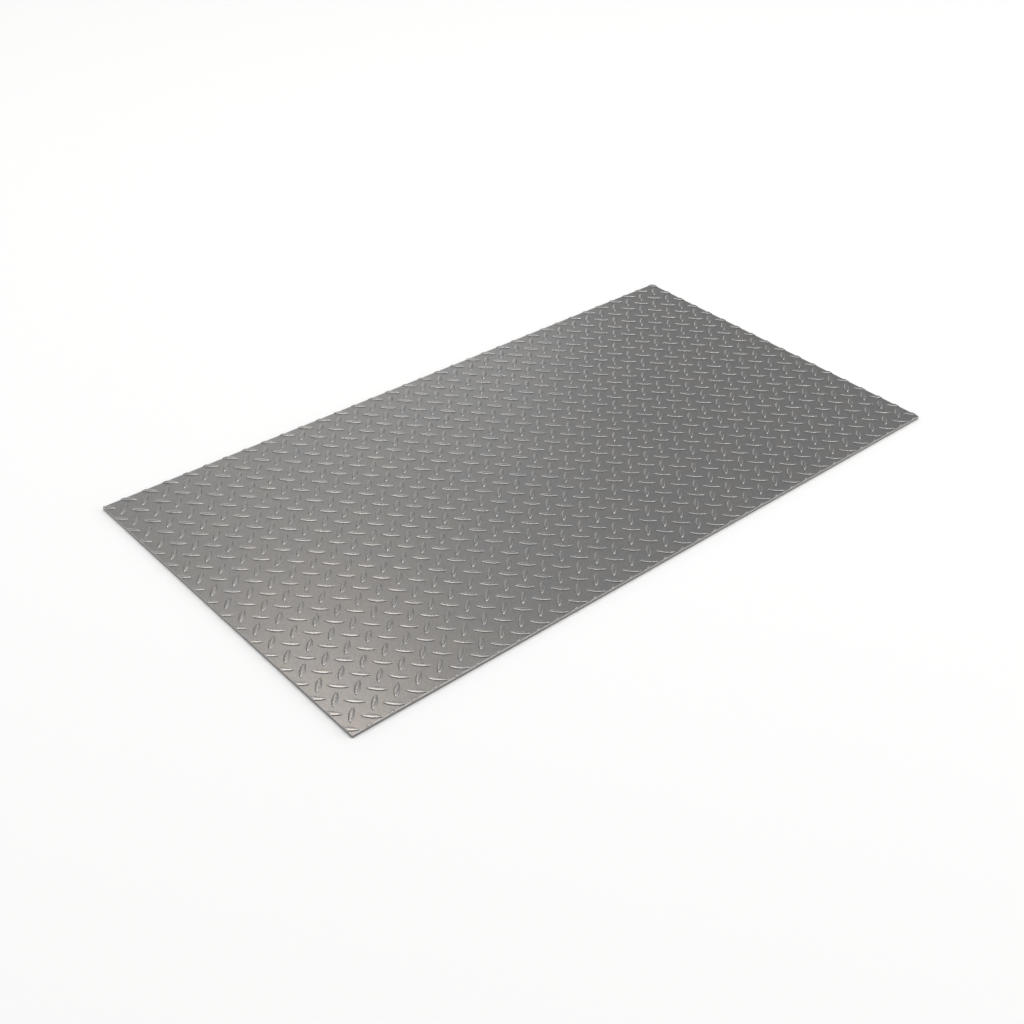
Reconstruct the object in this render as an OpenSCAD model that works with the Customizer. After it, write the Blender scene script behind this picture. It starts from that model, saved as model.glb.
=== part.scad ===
// Checker (tear) plate: one rolled piece of carbon steel, sheared square.
// The origin is the middle of the underside, +X runs along the length and
// +Z points up through the face that carries the raised tears.

/* [Plate] */
// Length of the plate, along X
plate_length = 1250; // [500:1:3000]
// Width of the plate, along Y
plate_width = 660; // [250:1:1500]
// Thickness of the plain steel under the tears, the plate's nominal gauge
base_thickness = 6; // [3:0.5:12]

/* [Tears] */
// Height of the raised tears above the plain steel between them
tear_height = 1.5; // [1:0.1:2]

/* [Hidden] */
// The slab reaches the tears' flat tops, where anything laid on the plate rests.
overall_thickness = base_thickness + tear_height;

// The sheared outline at the plate's full thickness, with sharp square corners.
module checker_plate() {
    color("dimgray")
        translate([-plate_length / 2, -plate_width / 2, 0])
            cube([plate_length, plate_width, overall_thickness]);
}

checker_plate();
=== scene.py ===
"""Checker plate: one rolled piece of carbon steel with raised tears, sheared square on four edges.

The plate lies face up on a pale studio floor. The named lengths are in millimetres unless their line says
otherwise, and mm() turns them to the frame's metres.
"""
import math

import bmesh
import bpy
import numpy as np
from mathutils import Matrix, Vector


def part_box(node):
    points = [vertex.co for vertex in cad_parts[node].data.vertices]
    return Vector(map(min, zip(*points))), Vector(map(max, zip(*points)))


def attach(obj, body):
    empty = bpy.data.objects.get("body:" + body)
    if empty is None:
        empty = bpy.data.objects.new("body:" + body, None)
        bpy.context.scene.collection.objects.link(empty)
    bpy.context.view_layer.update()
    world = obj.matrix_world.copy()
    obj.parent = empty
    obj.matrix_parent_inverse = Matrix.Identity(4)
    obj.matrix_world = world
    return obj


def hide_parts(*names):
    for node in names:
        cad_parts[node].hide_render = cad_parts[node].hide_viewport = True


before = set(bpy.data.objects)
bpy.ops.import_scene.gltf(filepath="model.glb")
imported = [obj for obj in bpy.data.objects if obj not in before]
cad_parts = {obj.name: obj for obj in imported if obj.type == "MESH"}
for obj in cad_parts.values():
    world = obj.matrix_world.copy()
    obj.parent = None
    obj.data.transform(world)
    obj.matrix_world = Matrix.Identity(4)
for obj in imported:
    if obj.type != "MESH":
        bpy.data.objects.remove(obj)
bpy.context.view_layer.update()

# The tread, in millimetres. A tear is a pointed leaf, raised out of the plain steel.
TEAR_HEIGHT = 1.5
TEAR_LENGTH = 31.0
TEAR_WIDTH = 9.4
TEAR_PITCH = 37.7  # from one tear to the next that points the same way, along the plate and across it
FIRST_TEAR = (21.9, 30.9)  # middle of the first right-leaning tear, from the near left corner
TIP_MARGIN = 0.5  # plain steel kept beyond a tear's tip
TIP_SHARPNESS = 1.5  # power of the sine that draws the outline: 1 is an ellipse, 2 a sharply pointed leaf
TIP_EASE = 1.4  # how many times as wide the flank is at the tips as at the sides
# Where the points stand along the outline, in degrees from the right tip round to just before the left one.
OUTLINE_STEPS = (0, 25, 55, 90, 125, 155)
# How far in from the tear's foot, and how high as a share of the tear, each ring of the rolled flank stands.
FLANK_PROFILE = ((0.0, 0.0), (0.2, 0.12), (1.0, 0.86), (1.9, 0.985))

# The sheared edge, in millimetres: the blade rolls the upper corner over and burnishes the upper part of
# the cut, and the rest breaks away with a slight lean to a small burr-free corner at the underside.
ROLLED_CORNER = 0.35
ROLLED_MIDDLE = 0.3  # share of the roll's radius that its middle stands in from the cut and below the top
BURNISHED_DEPTH = 2.6
BREAK_LEAN = 0.12
LOWER_CORNER = 0.3
JOINING_GAP = 0.01  # points of neighbouring squares of tread that are this close become one
BLADE_GAP = 0.002  # points this close to the blade's plane are cut on it

# The rolled skin: colours as sRGB, lengths in millimetres.
COOL_STEEL = "#a5a5a6"
WARM_STEEL = "#a8a7a5"
CLOUD_SIZE = 48
GRAIN_SIZE = 2.2  # the real grain is about 0.1 mm, too fine to show, so it is drawn this coarse
GRAIN_DEPTH = 0.02
GRAIN_CONTRAST = 0.13  # share by which a grain is lighter or darker than the skin
# The next colour is painted shade: a dark line round each tear's foot, standing in for the shade where the
# steep flank meets the plain steel.
FOOT_SHADE = "#3c3b3a"
FOOT_DARKNESS = 0.6  # share of the skin's colour that the foot line covers
FOOT_START = (0.02, 0.12)  # above the plain steel, where the foot line comes in
FOOT_END = (0.3, 0.8)  # above the plain steel, where it fades out again
RUBBED_STEEL = "#b6b5b3"
RUBBED_SIZE = 30  # about how far apart the more rubbed places are
RUBBED_HEIGHT = (1.25, 1.47)  # above the plain steel, where the rubbing comes in
SATIN_ROUGHNESS = 0.29
RUBBED_SMOOTHING = 0.04  # how much less rough a fully rubbed crown is
STREAK_ROUGHNESS = 0.012  # how much more or less rough a rolling streak is
STREAK_SIZE = (170, 3.2, 40)  # along the plate, across it and up

# The sheared skin: colours as sRGB, lengths in millimetres.
BURNISHED_STEEL = "#a5a3a0"
BURNISHED_ROUGHNESS = 0.36
DRAG_LINE_SIZE = (0.8, 0.8, 14)  # the real lines are finer than 0.2 mm, so they are drawn coarser to show
TORN_STEEL = "#8d8a87"
TORN_ROUGHNESS = 0.55
TORN_SIZE = 1.2
CUT_DEPTH = 0.08  # relief of the lines and of the torn part
CUT_CONTRAST = 0.2  # share by which they are lighter or darker than the steel
WAVER_SIZE = 9  # length of one waver of the line where the burnished band ends
WAVER_HEIGHT = 0.5  # how far up and down the line wavers
WAVER_BLUR = 0.2  # half the width of the line's soft edge

# Nearly all of a noise pattern lies between the first two. The clouds' limits are closer, which makes the
# clouds a little stronger, and the cut's are wider, which makes its shades softer.
NOISE_LOW, NOISE_HIGH = 0.3, 0.7
CLOUD_LOW, CLOUD_HIGH = 0.34, 0.66
CUT_LOW, CUT_HIGH = 0.25, 0.75

# The camera, aimed at the plain steel a little before and to the left of the plate's middle.
CAMERA_AIM = (-133.3, -89.3)  # millimetres from the middle
CAMERA_DISTANCE = 2266.5  # millimetres
CAMERA_AZIMUTH = 42.76  # degrees from +Y towards +X that the camera looks
CAMERA_ELEVATION = 35.70  # degrees that it looks down
CAMERA_ROLL = 2.07  # degrees that its top leans over to the right
CAMERA_LENS = 50.0
CAMERA_SENSOR = 36.0

# The studio.
FLOOR_WHITE = "#fafafa"
FLOOR_ROUGHNESS = 0.9
FLOOR_RADIUS = 14.0  # metres
LIGHT_DISTANCE = 8.0  # metres from the plate's middle to each soft box
WARM_WHITE = "#ffefe0"
PLAIN_WHITE = "#ffffff"
WALL_STRENGTH = 0.36  # how strongly the white walls shine


def mm(length):
    """Millimetres to the frame's metres."""
    return length / 1000.0


def srgb(hex_colour):
    """An sRGB hex value as linear red, green, blue and alpha."""
    shares = [int(hex_colour[i : i + 2], 16) / 255 for i in (1, 3, 5)]
    linear = [s / 12.92 if s <= 0.04045 else ((s + 0.055) / 1.055) ** 2.4 for s in shares]
    return (*linear, 1.0)


plate_low, plate_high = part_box("checker_plate")
plain_top = plate_high.z - mm(TEAR_HEIGHT)
burnish_foot = plain_top - mm(BURNISHED_DEPTH)


# ------------------------------------------------------------------------------------------ tread and edges


def leaf_outline(inset):
    """Points round a tear's outline moved in by inset, from its right tip anticlockwise, in millimetres."""
    half_length = TEAR_LENGTH / 2 - TIP_EASE * inset
    half_width = TEAR_WIDTH / 2 - inset
    turn = np.radians(OUTLINE_STEPS)
    upper = np.stack([half_length * np.cos(turn), half_width * np.sin(turn) ** TIP_SHARPNESS], 1)
    return np.concatenate([upper, -upper])


def tear_cell():
    """One square of plain steel with its tear, tear along the first axis: points in millimetres, and faces.

    A tear is longer than its square, so the two sides that it points at bulge out round its tips. The other
    two sides give way by as much to the tears of the squares beside it, which lie crosswise. The faces come
    back with the number of plain ones, which stand first in the list.
    """
    corner = TEAR_PITCH / math.sqrt(8)
    bulge = TEAR_LENGTH / 2 + TIP_MARGIN
    dip = 2 * corner - bulge
    square = [(bulge, 0), (corner, corner), (0, dip), (-corner, corner)]
    square += [(-x, -y) for x, y in square]
    points = [(x, y, 0.0) for x, y in square]
    around = 2 * len(OUTLINE_STEPS)
    rings = []
    for inset, share in FLANK_PROFILE:
        rings.append(range(len(points), len(points) + around))
        points += [(x, y, share * TEAR_HEIGHT) for x, y in leaf_outline(inset)]
    crown = leaf_outline(FLANK_PROFILE[-1][0])
    tip_to_tip = around // 2
    spine = range(len(points), len(points) + tip_to_tip - 1)
    points += [(x, 0.0, TEAR_HEIGHT) for x, _ in crown[1:tip_to_tip]]

    # Plain steel, from the square's outline in to the tear's foot.
    foot, top = rings[0], rings[-1]
    faces = []
    quarter = around // 4
    for corner_number in range(4):
        middle = 2 * corner_number
        corner_point = middle + 1
        next_middle = (middle + 2) % len(square)
        start = corner_number * quarter
        faces.append((middle, corner_point, foot[start]))
        for i in range(start, start + quarter):
            faces.append((corner_point, foot[(i + 1) % around], foot[i]))
        faces.append((corner_point, next_middle, foot[(start + quarter) % around]))
    plain_faces = len(faces)

    # Flank, ring by ring, and the crown, from the last ring in to the spine.
    for lower, upper in zip(rings, rings[1:]):
        for i in range(around):
            j = (i + 1) % around
            faces.append((lower[i], lower[j], upper[j], upper[i]))
    ridge = [top[0], *spine, top[tip_to_tip]]
    for i in range(tip_to_tip):
        opposite = top[-i % around], top[-i - 1]
        faces.append(tuple(dict.fromkeys((top[i], top[i + 1], ridge[i + 1], ridge[i]))))
        faces.append(tuple(dict.fromkeys((ridge[i], ridge[i + 1], opposite[1], opposite[0]))))
    return np.array(points), faces, plain_faces


def tear_centres():
    """(x, y, turn) of every tear whose square of steel touches the plate, in metres and radians."""
    pitch, reach = mm(TEAR_PITCH), mm(TEAR_PITCH) / 2
    found = []
    for side_step, turn in ((0.0, math.pi / 4), (reach, -math.pi / 4)):
        rows = []
        for first, low, high in zip(FIRST_TEAR, plate_low, plate_high):
            start = low + mm(first) + side_step
            first_step = math.ceil((low - reach - start) / pitch)
            last_step = math.floor((high + reach - start) / pitch)
            rows.append([start + i * pitch for i in range(first_step, last_step + 1)])
        found += [(x, y, turn) for x in rows[0] for y in rows[1]]
    return found


def rolled_tread():
    """The upper face with all its tears, a little past the plate's edges, as one joined sheet."""
    points, faces, plain_faces = tear_cell()
    places, polygons = [], []
    for x, y, turn in tear_centres():
        c, s = math.cos(turn), math.sin(turn)
        flat = mm(points[:, :2] @ np.array([[c, s], [-s, c]])) + (x, y)
        polygons += [[len(places) * len(points) + v for v in face] for face in faces]
        places.append(np.column_stack([flat, plain_top + mm(points[:, 2])]))
    sheet = bpy.data.meshes.new("rolled_tread")
    sheet.from_pydata(np.concatenate(places).tolist(), [], polygons)
    bm = bmesh.new()
    bm.from_mesh(sheet)
    bpy.data.meshes.remove(sheet)
    for i, face in enumerate(bm.faces):
        face.smooth = i % len(faces) >= plain_faces
    rim = [v for v in bm.verts if v.is_boundary]
    bmesh.ops.remove_doubles(bm, verts=rim, dist=mm(JOINING_GAP))
    for edge in bm.edges:  # hard only round the tears' feet, where plain steel meets a flank
        edge.smooth = len({face.smooth for face in edge.link_faces}) == 1
    return bm


def shear_square(bm):
    """Trims the tread to the outline, less the rolled corner, and adds the sheared edges and the underside."""
    inner = [plate_high.x - mm(ROLLED_CORNER), plate_high.y - mm(ROLLED_CORNER)]
    for axis in (0, 1):
        for side in (-1, 1):
            blade = Vector((0, 0, 0))
            blade[axis] = side
            everything = bm.verts[:] + bm.edges[:] + bm.faces[:]
            where = {"plane_co": blade * inner[axis], "plane_no": blade, "dist": mm(BLADE_GAP)}
            bmesh.ops.bisect_plane(bm, geom=everything, clear_outer=True, **where)

    def rim():
        return [edge for edge in bm.edges if edge.is_boundary]

    def ring(inset, height=None, drop=None):
        """One more ring down the cut: inset from the outline, at a height or a drop below the last ring."""
        grown = bmesh.ops.extrude_edge_only(bm, edges=rim())["geom"]
        for v in (g for g in grown if isinstance(g, bmesh.types.BMVert)):
            for axis in (0, 1):
                if abs(v.co[axis]) > inner[axis] - mm(JOINING_GAP):
                    v.co[axis] = math.copysign(plate_high[axis] - inset, v.co[axis])
            v.co.z = height if drop is None else v.co.z - drop
        return [g for g in grown if isinstance(g, bmesh.types.BMFace)]

    for edge in rim():
        edge.smooth = False
    roll_middle = mm(ROLLED_MIDDLE * ROLLED_CORNER)
    rolled = ring(roll_middle, drop=roll_middle)
    rolled += ring(0, drop=mm(ROLLED_CORNER) - roll_middle)
    cut = ring(0, height=burnish_foot)
    cut += ring(mm(BREAK_LEAN), height=mm(LOWER_CORNER))
    cut += ring(mm(BREAK_LEAN + LOWER_CORNER), height=plate_low.z)
    for face in rolled:
        face.smooth = True
    for face in cut:
        face.material_index = 1

    # The flat underside, as a fan round its middle.
    middle = bm.verts.new((0, 0, plate_low.z))
    for edge in rim():
        bm.faces.new((*edge.verts, middle))
    bmesh.ops.recalc_face_normals(bm, faces=bm.faces[:])


def checker_plate():
    """The whole plate as one closed mesh."""
    bm = rolled_tread()
    shear_square(bm)
    mesh = bpy.data.meshes.new("checker_plate_tread")
    bm.to_mesh(mesh)
    bm.free()
    plate = bpy.data.objects.new("tread_plate", mesh)
    bpy.context.scene.collection.objects.link(plate)
    return plate


# ------------------------------------------------------------------------------------------------- finishes


def add(tree, kind, inputs=None, **settings):
    """Adds a node to a material's tree, sets its properties, and fills or links its inputs."""
    made = tree.nodes.new(kind)
    for name, value in settings.items():
        setattr(made, name, value)
    for name, value in (inputs or {}).items():
        if isinstance(value, bpy.types.NodeSocket):
            tree.links.new(value, made.inputs[name])
        else:
            made.inputs[name].default_value = value
    return made


def new_finish(name):
    """A new material: itself, its node tree, its shader, and the place in metres that its patterns use."""
    material = bpy.data.materials.new(name)
    material.use_nodes = True
    tree = material.node_tree
    place = add(tree, "ShaderNodeTexCoord").outputs["Object"]
    return material, tree, tree.nodes["Principled BSDF"], place


def every(size):
    """The pattern scale that repeats about every size, in millimetres."""
    return 1 / mm(size)


def rolled_steel():
    """Hot-rolled carbon steel, pickled clean and lightly oiled.

    The acid leaves a satin grey skin with an etched grain. It gives the eye wide soft reflections, faint
    streaks along the rolling, clouds of slightly warmer and cooler grey, and crowns that handling has rubbed
    bright. Round each tear's foot runs a dark line of painted shade, where the steep flank meets the plain
    steel.
    """
    material, tree, shader, place = new_finish("pickled_rolled_steel")
    height = add(tree, "ShaderNodeSeparateXYZ", {"Vector": place}).outputs["Z"]

    # Clouds a few centimetres across, from uneven pickling and oil.
    clouds = add(tree, "ShaderNodeTexNoise", {"Vector": place, "Scale": every(CLOUD_SIZE), "Detail": 4.0})
    cloudy = add(
        tree,
        "ShaderNodeMapRange",
        {"Value": clouds.outputs["Fac"], "From Min": CLOUD_LOW, "From Max": CLOUD_HIGH},
    )
    skin = add(
        tree,
        "ShaderNodeMixRGB",
        {"Fac": cloudy.outputs["Result"], "Color1": srgb(COOL_STEEL), "Color2": srgb(WARM_STEEL)},
    )

    # Etched grain.
    grain = add(tree, "ShaderNodeTexNoise", {"Vector": place, "Scale": every(GRAIN_SIZE), "Detail": 3.0})
    grainy = add(
        tree,
        "ShaderNodeMapRange",
        {
            "Value": grain.outputs["Fac"],
            "From Min": NOISE_LOW,
            "From Max": NOISE_HIGH,
            "To Min": 1 - GRAIN_CONTRAST,
            "To Max": 1 + GRAIN_CONTRAST,
        },
    )
    skin = add(
        tree,
        "ShaderNodeVectorMath",
        {0: skin.outputs["Color"], 1: grainy.outputs["Result"]},
        operation="MULTIPLY",
    )

    # Painted shade round the foot of each tear: from just above the plain steel, gone again about half of the
    # way up the flank.
    foot_rise = add(
        tree,
        "ShaderNodeMapRange",
        {
            "Value": height,
            "From Min": plain_top + mm(FOOT_START[0]),
            "From Max": plain_top + mm(FOOT_START[1]),
        },
    )
    foot_fall = add(
        tree,
        "ShaderNodeMapRange",
        {
            "Value": height,
            "From Min": plain_top + mm(FOOT_END[0]),
            "From Max": plain_top + mm(FOOT_END[1]),
            "To Min": FOOT_DARKNESS,
            "To Max": 0.0,
        },
    )
    foot = add(
        tree,
        "ShaderNodeMath",
        {0: foot_rise.outputs["Result"], 1: foot_fall.outputs["Result"]},
        operation="MULTIPLY",
    )
    skin = add(
        tree,
        "ShaderNodeMixRGB",
        {"Fac": foot.outputs["Value"], "Color1": skin.outputs["Vector"], "Color2": srgb(FOOT_SHADE)},
    )

    # Crowns, rubbed more on some tears than on others.
    crown = add(
        tree,
        "ShaderNodeMapRange",
        {
            "Value": height,
            "From Min": plain_top + mm(RUBBED_HEIGHT[0]),
            "From Max": plain_top + mm(RUBBED_HEIGHT[1]),
        },
    )
    rubbing = add(tree, "ShaderNodeTexNoise", {"Vector": place, "Scale": every(RUBBED_SIZE), "Detail": 2.0})
    rubbed = add(
        tree,
        "ShaderNodeMath",
        {0: crown.outputs["Result"], 1: rubbing.outputs["Fac"]},
        operation="MULTIPLY",
    )
    skin = add(
        tree,
        "ShaderNodeMixRGB",
        {"Fac": rubbed.outputs["Value"], "Color1": skin.outputs["Color"], "Color2": srgb(RUBBED_STEEL)},
    )
    tree.links.new(skin.outputs["Color"], shader.inputs["Base Color"])

    # Rolling streaks: long along the plate, a few millimetres wide across it.
    streak_scale = [every(size) for size in STREAK_SIZE]
    along = add(tree, "ShaderNodeMapping", {"Vector": place, "Scale": streak_scale})
    streaks = add(
        tree,
        "ShaderNodeTexNoise",
        {"Vector": along.outputs["Vector"], "Scale": 1.0, "Detail": 3.0},
    )
    streaked = add(
        tree,
        "ShaderNodeMapRange",
        {
            "Value": streaks.outputs["Fac"],
            "From Min": NOISE_LOW,
            "From Max": NOISE_HIGH,
            "To Min": SATIN_ROUGHNESS - STREAK_ROUGHNESS,
            "To Max": SATIN_ROUGHNESS + STREAK_ROUGHNESS,
        },
    )
    smoothing = add(
        tree,
        "ShaderNodeMath",
        {0: rubbed.outputs["Value"], 1: RUBBED_SMOOTHING},
        operation="MULTIPLY",
    )
    roughness = add(
        tree,
        "ShaderNodeMath",
        {0: streaked.outputs["Result"], 1: smoothing.outputs["Value"]},
        operation="SUBTRACT",
    )
    tree.links.new(roughness.outputs["Value"], shader.inputs["Roughness"])

    # The grain's own relief, which breaks the reflections up a little.
    relief = add(
        tree,
        "ShaderNodeBump",
        {"Height": grain.outputs["Fac"], "Distance": mm(GRAIN_DEPTH), "Strength": 1.0},
    )
    tree.links.new(relief.outputs["Normal"], shader.inputs["Normal"])
    shader.inputs["Metallic"].default_value = 1.0
    return material


def sheared_steel():
    """Carbon steel as the shear leaves it.

    The blade burnishes the upper part of the cut, which shines in fine upright lines, and the lower part
    breaks away torn, dull and darker. The two meet in a wavering line.
    """
    material, tree, shader, place = new_finish("sheared_steel_edge")

    # The wavering line between the burnished band and the break.
    wander = add(tree, "ShaderNodeTexNoise", {"Vector": place, "Scale": every(WAVER_SIZE), "Detail": 3.0})
    sway = add(
        tree,
        "ShaderNodeMapRange",
        {
            "Value": wander.outputs["Fac"],
            "From Min": NOISE_LOW,
            "From Max": NOISE_HIGH,
            "To Min": -mm(WAVER_HEIGHT),
            "To Max": mm(WAVER_HEIGHT),
        },
    )
    height = add(tree, "ShaderNodeSeparateXYZ", {"Vector": place}).outputs["Z"]
    swayed = add(tree, "ShaderNodeMath", {0: height, 1: sway.outputs["Result"]}, operation="ADD")
    burnished = add(
        tree,
        "ShaderNodeMapRange",
        {
            "Value": swayed.outputs["Value"],
            "From Min": burnish_foot - mm(WAVER_BLUR),
            "From Max": burnish_foot + mm(WAVER_BLUR),
        },
    )

    # Upright drag lines in the burnished band, and the torn part's crumbled skin below it.
    drag_scale = [every(size) for size in DRAG_LINE_SIZE]
    upright = add(tree, "ShaderNodeMapping", {"Vector": place, "Scale": drag_scale})
    lines = add(
        tree,
        "ShaderNodeTexNoise",
        {"Vector": upright.outputs["Vector"], "Scale": 1.0, "Detail": 2.0},
    )
    torn = add(tree, "ShaderNodeTexNoise", {"Vector": place, "Scale": every(TORN_SIZE), "Detail": 4.0})
    cut = add(
        tree,
        "ShaderNodeMixRGB",
        {
            "Fac": burnished.outputs["Result"],
            "Color1": torn.outputs["Fac"],
            "Color2": lines.outputs["Fac"],
        },
    )
    shade = add(
        tree,
        "ShaderNodeMapRange",
        {
            "Value": cut.outputs["Color"],
            "From Min": CUT_LOW,
            "From Max": CUT_HIGH,
            "To Min": 1 - CUT_CONTRAST,
            "To Max": 1 + CUT_CONTRAST,
        },
    )
    steel = add(
        tree,
        "ShaderNodeMixRGB",
        {"Fac": burnished.outputs["Result"], "Color1": srgb(TORN_STEEL), "Color2": srgb(BURNISHED_STEEL)},
    )
    steel = add(
        tree,
        "ShaderNodeVectorMath",
        {0: steel.outputs["Color"], 1: shade.outputs["Result"]},
        operation="MULTIPLY",
    )
    tree.links.new(steel.outputs["Vector"], shader.inputs["Base Color"])
    roughness = add(
        tree,
        "ShaderNodeMapRange",
        {"Value": burnished.outputs["Result"], "To Min": TORN_ROUGHNESS, "To Max": BURNISHED_ROUGHNESS},
    )
    tree.links.new(roughness.outputs["Result"], shader.inputs["Roughness"])
    relief = add(
        tree,
        "ShaderNodeBump",
        {"Height": cut.outputs["Color"], "Distance": mm(CUT_DEPTH), "Strength": 1.0},
    )
    tree.links.new(relief.outputs["Normal"], shader.inputs["Normal"])
    shader.inputs["Metallic"].default_value = 1.0
    return material


# ------------------------------------------------------------------------------------ floor, lights, camera


def studio_floor():
    """A plain pale floor."""
    mesh = bpy.data.meshes.new("studio_floor")
    bm = bmesh.new()
    bmesh.ops.create_circle(bm, cap_ends=True, segments=96, radius=FLOOR_RADIUS)
    bm.to_mesh(mesh)
    bm.free()
    floor = bpy.data.objects.new("studio_floor", mesh)
    bpy.context.scene.collection.objects.link(floor)
    paint = bpy.data.materials.new("matt_white_floor")
    paint.use_nodes = True
    shader = paint.node_tree.nodes["Principled BSDF"]
    shader.inputs["Base Color"].default_value = srgb(FLOOR_WHITE)
    shader.inputs["Roughness"].default_value = FLOOR_ROUGHNESS
    mesh.materials.append(paint)


def aimed(obj, place, target):
    """Puts an object at a place with its -Z axis at the target."""
    obj.location = place
    obj.rotation_euler = (Vector(target) - Vector(place)).to_track_quat("-Z", "Y").to_euler()
    bpy.context.scene.collection.objects.link(obj)
    return obj


def direction(azimuth, elevation):
    """Unit vector towards an azimuth, in degrees from +Y towards +X, and an elevation in degrees."""
    turn, rise = math.radians(azimuth), math.radians(elevation)
    return Vector((math.sin(turn) * math.cos(rise), math.cos(turn) * math.cos(rise), math.sin(rise)))


def softbox(name, azimuth, elevation, size, radiance, tint=PLAIN_WHITE):
    """A far soft box, aimed at the plate's middle, that hides from the camera.

    Its power is worked out from its face and its radiance, so boxes of one radiance look equally bright.
    """
    light = bpy.data.lights.new(name, "AREA")
    light.shape = "RECTANGLE"
    light.size, light.size_y = size
    light.color = srgb(tint)[:3]
    light.energy = radiance * math.pi * light.size * light.size_y
    box = aimed(bpy.data.objects.new(name, light), direction(azimuth, elevation) * LIGHT_DISTANCE, (0, 0, 0))
    box.visible_camera = False


def studio_lights():
    """Soft boxes round a white studio: azimuth, elevation, width and height in metres, and radiance of each.

    The high ones give the plain steel its run of grey, and the low ones light the tears' flanks.
    """
    softbox("key_softbox", 27, 56.5, (0.95, 2.9), 3.2, WARM_WHITE)
    softbox("overhead_softbox", 0, 90, (3.8, 3.8), 2.3)
    softbox("overhead_back_softbox", 0, 67.5, (3.2, 2.1), 2.9)
    softbox("overhead_right_softbox", 120, 68, (3.5, 2.2), 5.1)
    softbox("overhead_left_softbox", 320, 53, (3.4, 1.95), 2.7)
    softbox("front_right_softbox", 137.5, 17, (7.8, 4.2), 1.6)
    softbox("right_upper_softbox", 108, 39, (3.9, 1.95), 1.6)
    softbox("right_softbox", 90, 25, (3.8, 1.95), 1.25)
    softbox("left_softbox", 302.5, 18, (4.8, 3.9), 1.6)
    softbox("back_softbox", 30, 25, (3.8, 1.95), 0.45)
    softbox("back_low_softbox", 30, 12.5, (4.1, 1.55), 1.1)
    softbox("back_wide_softbox", 22.5, 8.5, (12.0, 1.55), 0.45)
    world = bpy.data.worlds.new("studio_walls")
    world.use_nodes = True
    walls = world.node_tree.nodes["Background"]
    walls.inputs["Color"].default_value = srgb(PLAIN_WHITE)
    walls.inputs["Strength"].default_value = WALL_STRENGTH
    bpy.context.scene.world = world


def studio_camera():
    """The camera looks down on the plate from beyond its near left corner, with a slight roll."""
    data = bpy.data.cameras.new("studio_camera")
    data.lens = CAMERA_LENS
    data.sensor_width = CAMERA_SENSOR
    camera = bpy.data.objects.new("studio_camera", data)
    look = direction(CAMERA_AZIMUTH, -CAMERA_ELEVATION)
    aim = Vector((mm(CAMERA_AIM[0]), mm(CAMERA_AIM[1]), plain_top))
    aimed(camera, aim - look * mm(CAMERA_DISTANCE), aim)
    camera.rotation_euler.rotate_axis("Z", math.radians(CAMERA_ROLL))
    bpy.context.scene.camera = camera


studio_camera()
studio_floor()
studio_lights()
bpy.context.scene.view_settings.view_transform = "Standard"

plate = checker_plate()
plate.data.materials.append(rolled_steel())
plate.data.materials.append(sheared_steel())
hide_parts("checker_plate")
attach(plate, "root")
